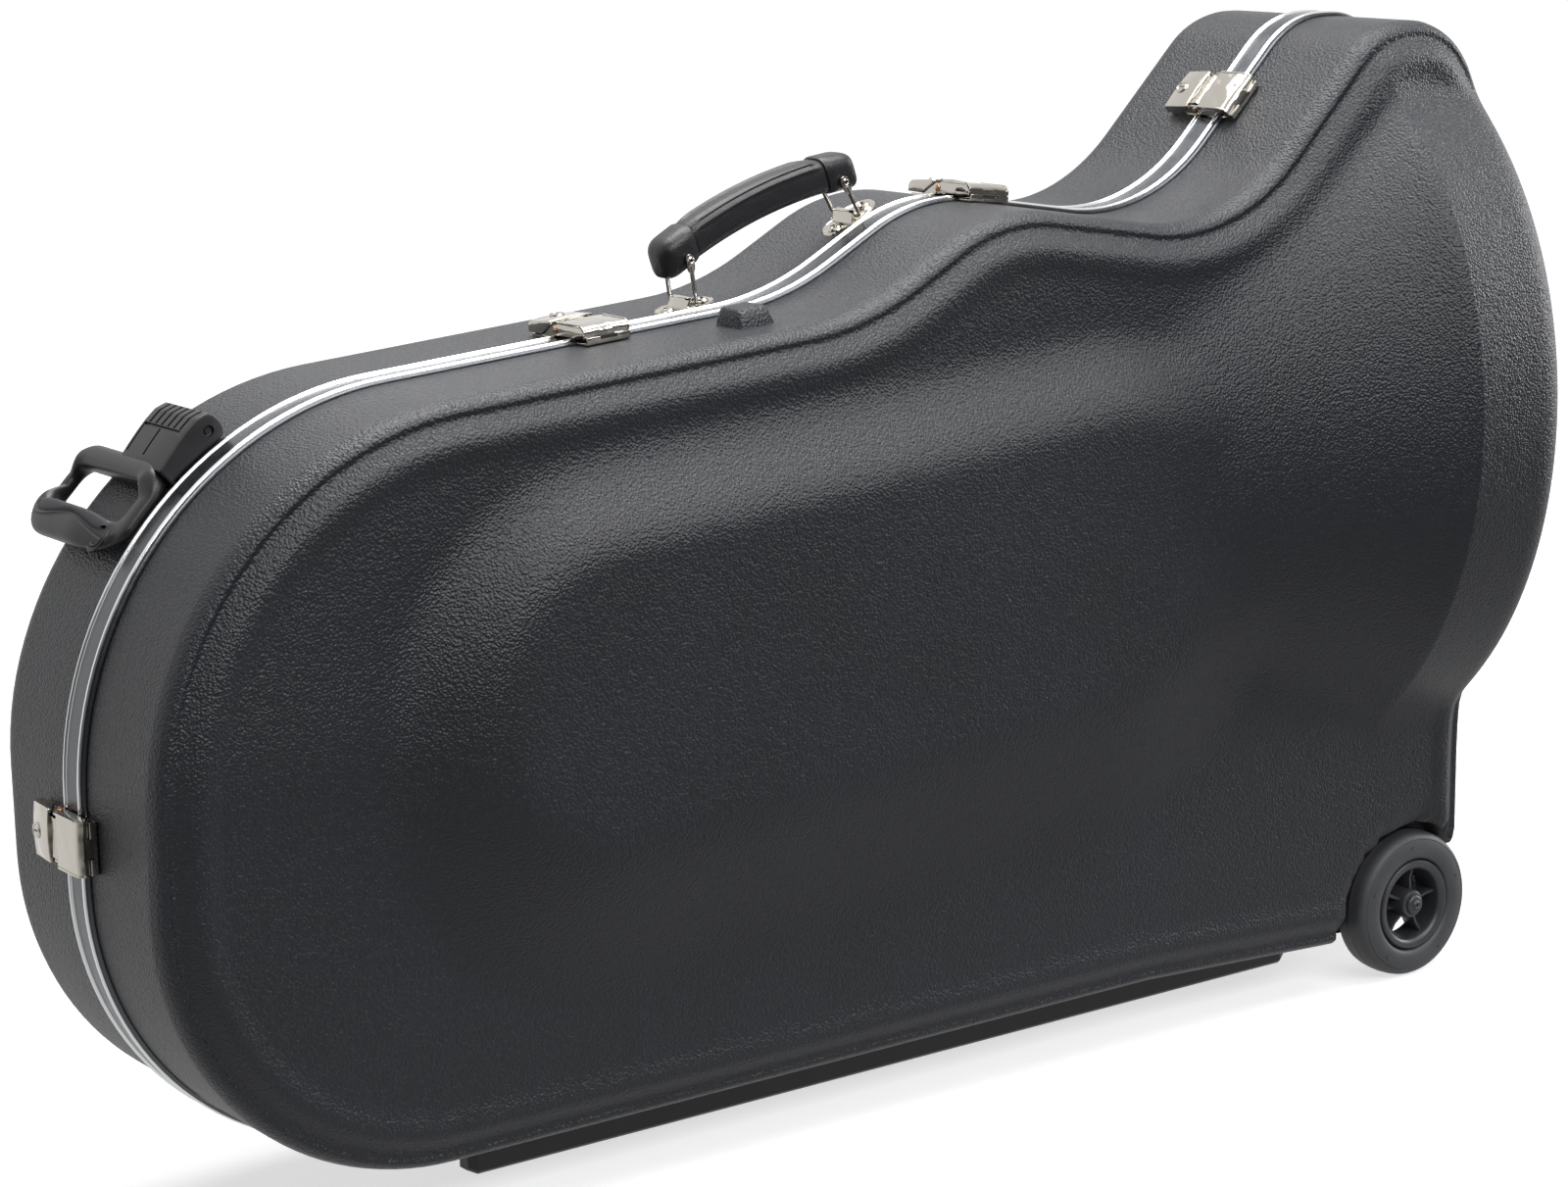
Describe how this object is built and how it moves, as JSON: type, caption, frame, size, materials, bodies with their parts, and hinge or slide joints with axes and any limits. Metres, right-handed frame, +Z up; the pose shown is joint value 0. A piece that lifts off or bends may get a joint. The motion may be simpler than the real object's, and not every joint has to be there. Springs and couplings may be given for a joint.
{
  "type": "tuba case",
  "caption": "Hard-shell tuba case standing on runners and wheels, with a hinged lid, latches along the chrome seam, a folding carrying handle and a swing-out tow handle.",
  "frame": {"origin": "on the floor, under the middle of the case's length and on the plane where its halves part", "axes": "+X toward the bell end, +Y toward the back half with the handles, +Z up"},
  "size_m": [0.9893, 0.364, 0.6443],
  "materials": {
    "shell": "leather grain",
    "frame": "satin band with bright ridges",
    "nickel": "polished",
    "steel": "plain",
    "black_plastic": "fine grain",
    "tyre": "matte",
    "soft_rubber": "matte",
    "grip_leather": "smooth",
    "plush": "short pile"
  },
  "bodies": {
    "case": {"back_shell": "shell", "back_frame": "frame", "back_padding": "plush", "bow_cushion": "plush", "bell_cushion": "plush", "back_runner": "black_plastic", "hinge_1_back_leaf": "steel", "hinge_1_pin": "steel", "hinge_2_back_leaf": "steel", "hinge_2_pin": "steel", "back_axle": "steel", "back_bracket": "black_plastic", "latch_1_base": "nickel", "latch_2_base": "nickel", "latch_3_base": "nickel", "latch_4_base": "nickel", "handle_plate_1": "nickel", "handle_plate_2": "nickel", "tow_bracket": "black_plastic", "tow_pin": "steel"},
    "lid": {"front_shell": "shell", "front_frame": "frame", "front_padding": "plush", "front_runner": "black_plastic", "hinge_1_front_leaf": "steel", "hinge_2_front_leaf": "steel", "front_axle": "steel", "front_bracket": "black_plastic", "latch_1_catch": "nickel", "latch_2_catch": "nickel", "latch_3_catch": "nickel", "latch_4_catch": "nickel"},
    "back_wheel": {"back_tyre": "tyre", "back_rim": "black_plastic", "back_cap": "black_plastic"},
    "front_wheel": {"front_tyre": "tyre", "front_rim": "black_plastic", "front_cap": "black_plastic"},
    "lever_1": {"latch_1_lever": "nickel"},
    "lever_2": {"latch_2_lever": "nickel"},
    "lever_3": {"latch_3_lever": "nickel"},
    "lever_4": {"latch_4_lever": "nickel"},
    "lock_1": {"latch_1_lock": "nickel"},
    "lock_2": {"latch_2_lock": "nickel"},
    "lock_3": {"latch_3_lock": "nickel"},
    "lock_4": {"latch_4_lock": "nickel"},
    "hasp_1": {"latch_1_hasp": "nickel"},
    "hasp_2": {"latch_2_hasp": "nickel"},
    "hasp_3": {"latch_3_hasp": "nickel"},
    "hasp_4": {"latch_4_hasp": "nickel"},
    "bail_1": {"handle_bail_1": "nickel", "handle_pin_1": "nickel"},
    "bail_2": {"handle_bail_2": "nickel", "handle_pin_2": "nickel"},
    "grip": {"handle_grip": "grip_leather"},
    "tow_loop": {"tow_handle": "black_plastic", "tow_pad": "soft_rubber"}
  },
  "joints": [
    {"name": "lid_hinge", "type": "hinge", "parent": "case", "child": "lid", "pos_m": [0, 0, 0.004], "axis": [1, 0, 0], "range_deg": [0, 100]},
    {"name": "back_wheel_spin", "type": "hinge", "parent": "case", "child": "back_wheel", "pos_m": [0.43925, 0.084, 0.05], "axis": [0, 1, 0], "continuous": true},
    {"name": "front_wheel_spin", "type": "hinge", "parent": "lid", "child": "front_wheel", "pos_m": [0.43925, -0.084, 0.05], "axis": [0, 1, 0], "continuous": true},
    {"name": "lever_1_pivot", "type": "hinge", "parent": "case", "child": "lever_1", "pos_m": [-0.15322, 0.008, 0.48877], "axis": [0.9974, 0, 0.072], "range_deg": [0, 35]},
    {"name": "lever_2_pivot", "type": "hinge", "parent": "case", "child": "lever_2", "pos_m": [0.1296, 0.008, 0.54748], "axis": [0.9916, 0, -0.1293], "range_deg": [0, 35]},
    {"name": "lever_3_pivot", "type": "hinge", "parent": "case", "child": "lever_3", "pos_m": [0.33915, 0.008, 0.59427], "axis": [0.7071, 0, 0.7071], "range_deg": [0, 35]},
    {"name": "lever_4_pivot", "type": "hinge", "parent": "case", "child": "lever_4", "pos_m": [-0.49375, 0.008, 0.242], "axis": [0, 0, 1], "range_deg": [0, 35]},
    {"name": "lock_1_turn", "type": "hinge", "parent": "lever_1", "child": "lock_1", "pos_m": [-0.15275, 0.0295, 0.48229], "axis": [-0.072, 0, 0.9974], "range_deg": [0, 90]},
    {"name": "lock_2_turn", "type": "hinge", "parent": "lever_2", "child": "lock_2", "pos_m": [0.12876, 0.0295, 0.54104], "axis": [0.1293, 0, 0.9916], "range_deg": [0, 90]},
    {"name": "lock_3_turn", "type": "hinge", "parent": "lever_3", "child": "lock_3", "pos_m": [0.34375, 0.0295, 0.58967], "axis": [-0.7071, 0, 0.7071], "range_deg": [0, 90]},
    {"name": "lock_4_turn", "type": "hinge", "parent": "lever_4", "child": "lock_4", "pos_m": [-0.48725, 0.0295, 0.242], "axis": [-1, 0, 0], "range_deg": [0, 90]},
    {"name": "hasp_1_pivot", "type": "hinge", "parent": "case", "child": "hasp_1", "pos_m": [-0.15322, 0.008, 0.48877], "axis": [-0.9974, 0, -0.072], "range_deg": [0, 60]},
    {"name": "hasp_2_pivot", "type": "hinge", "parent": "case", "child": "hasp_2", "pos_m": [0.1296, 0.008, 0.54748], "axis": [-0.9916, 0, 0.1293], "range_deg": [0, 60]},
    {"name": "hasp_3_pivot", "type": "hinge", "parent": "case", "child": "hasp_3", "pos_m": [0.33915, 0.008, 0.59427], "axis": [-0.7071, 0, -0.7071], "range_deg": [0, 60]},
    {"name": "hasp_4_pivot", "type": "hinge", "parent": "case", "child": "hasp_4", "pos_m": [-0.49375, 0.008, 0.242], "axis": [0, 0, -1], "range_deg": [0, 60]},
    {"name": "bail_1_pivot", "type": "hinge", "parent": "case", "child": "bail_1", "pos_m": [-0.0652, 0.027, 0.4929], "axis": [0, 1, 0], "range_deg": [-40, 35]},
    {"name": "bail_2_pivot", "type": "hinge", "parent": "case", "child": "bail_2", "pos_m": [0.0578, 0.027, 0.53592], "axis": [0, 1, 0], "range_deg": [-40, 35]},
    {"name": "grip_pivot", "type": "hinge", "parent": "bail_1", "child": "grip", "pos_m": [-0.06954, 0.027, 0.51935], "axis": [0, 1, 0], "range_deg": [-38, 43]},
    {"name": "tow_handle_swing", "type": "hinge", "parent": "case", "child": "tow_loop", "pos_m": [-0.39159, 0.0375, 0.45307], "axis": [0, 1, 0], "range_deg": [0, 100]}
  ],
  "couplings": [
    {"joint": "bail_2_pivot", "follows": "bail_1_pivot", "ratio": 1},
    {"joint": "grip_pivot", "follows": "bail_1_pivot", "ratio": -1.066}
  ]
}
